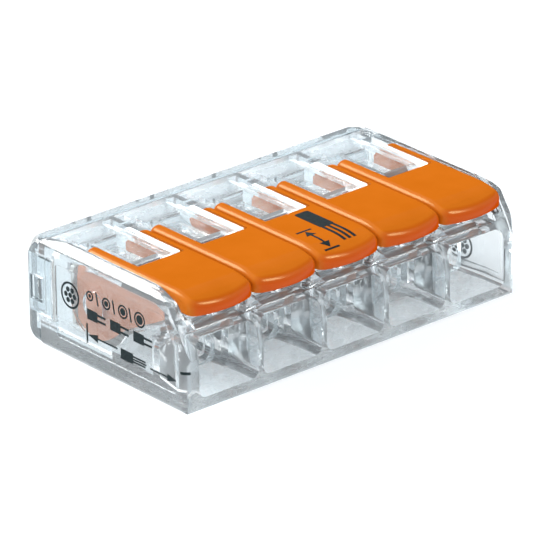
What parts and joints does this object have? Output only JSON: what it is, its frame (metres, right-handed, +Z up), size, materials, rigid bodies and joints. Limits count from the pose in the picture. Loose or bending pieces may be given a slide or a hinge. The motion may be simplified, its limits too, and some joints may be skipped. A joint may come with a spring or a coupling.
{
  "type": "lever wire connector",
  "caption": "Clear block connector that joins stripped wires side by side: each wire entry has a hinged orange lever that opens a clamp spring over one shared busbar.",
  "frame": {"origin": "centre of the underside of the housing and cover", "axes": "+X across the poles towards the right-hand wall, +Y from the wire entries to the rear cover, +Z up out of the roof"},
  "size_m": [0.0366, 0.021, 0.0101],
  "materials": {
    "clear_plastic": "polished clear polycarbonate",
    "orange_plastic": "smooth moulded, semi-gloss",
    "tinned_copper": "tin-plated copper, satin",
    "spring_steel": "rolled spring strip"
  },
  "bodies": {
    "base": {"housing": "clear_plastic", "rear_cover": "clear_plastic", "busbar": "tinned_copper", "clamp_spring_1": "spring_steel", "clamp_spring_2": "spring_steel", "clamp_spring_3": "spring_steel", "clamp_spring_4": "spring_steel", "clamp_spring_5": "spring_steel"},
    "lever_1": {"lever_1": "orange_plastic"},
    "lever_2": {"lever_2": "orange_plastic"},
    "lever_3": {"lever_3": "orange_plastic"},
    "lever_4": {"lever_4": "orange_plastic"},
    "lever_5": {"lever_5": "orange_plastic"},
    "clamp_leg_1": {"clamp_leg_1": "spring_steel"},
    "clamp_leg_2": {"clamp_leg_2": "spring_steel"},
    "clamp_leg_3": {"clamp_leg_3": "spring_steel"},
    "clamp_leg_4": {"clamp_leg_4": "spring_steel"},
    "clamp_leg_5": {"clamp_leg_5": "spring_steel"}
  },
  "joints": [
    {"name": "lever_1_hinge", "type": "hinge", "parent": "base", "child": "lever_1", "pos_m": [-0.0138, 0.002, 0.0056], "axis": [-1, 0, 0], "range_deg": [0, 90]},
    {"name": "lever_2_hinge", "type": "hinge", "parent": "base", "child": "lever_2", "pos_m": [-0.0069, 0.002, 0.0056], "axis": [-1, 0, 0], "range_deg": [0, 90]},
    {"name": "lever_3_hinge", "type": "hinge", "parent": "base", "child": "lever_3", "pos_m": [0, 0.002, 0.0056], "axis": [-1, 0, 0], "range_deg": [0, 90]},
    {"name": "lever_4_hinge", "type": "hinge", "parent": "base", "child": "lever_4", "pos_m": [0.0069, 0.002, 0.0056], "axis": [-1, 0, 0], "range_deg": [0, 90]},
    {"name": "lever_5_hinge", "type": "hinge", "parent": "base", "child": "lever_5", "pos_m": [0.0138, 0.002, 0.0056], "axis": [-1, 0, 0], "range_deg": [0, 90]},
    {"name": "clamp_leg_1_bend", "type": "hinge", "parent": "base", "child": "clamp_leg_1", "pos_m": [-0.0138, -0.0044, 0.0066], "axis": [1, 0, 0], "range_deg": [0, 22]},
    {"name": "clamp_leg_2_bend", "type": "hinge", "parent": "base", "child": "clamp_leg_2", "pos_m": [-0.0069, -0.0044, 0.0066], "axis": [1, 0, 0], "range_deg": [0, 22]},
    {"name": "clamp_leg_3_bend", "type": "hinge", "parent": "base", "child": "clamp_leg_3", "pos_m": [0, -0.0044, 0.0066], "axis": [1, 0, 0], "range_deg": [0, 22]},
    {"name": "clamp_leg_4_bend", "type": "hinge", "parent": "base", "child": "clamp_leg_4", "pos_m": [0.0069, -0.0044, 0.0066], "axis": [1, 0, 0], "range_deg": [0, 22]},
    {"name": "clamp_leg_5_bend", "type": "hinge", "parent": "base", "child": "clamp_leg_5", "pos_m": [0.0138, -0.0044, 0.0066], "axis": [1, 0, 0], "range_deg": [0, 22]}
  ],
  "couplings": [
    {"joint": "clamp_leg_1_bend", "follows": "lever_1_hinge", "ratio": 0.2444},
    {"joint": "clamp_leg_2_bend", "follows": "lever_2_hinge", "ratio": 0.2444},
    {"joint": "clamp_leg_3_bend", "follows": "lever_3_hinge", "ratio": 0.2444},
    {"joint": "clamp_leg_4_bend", "follows": "lever_4_hinge", "ratio": 0.2444},
    {"joint": "clamp_leg_5_bend", "follows": "lever_5_hinge", "ratio": 0.2444}
  ]
}
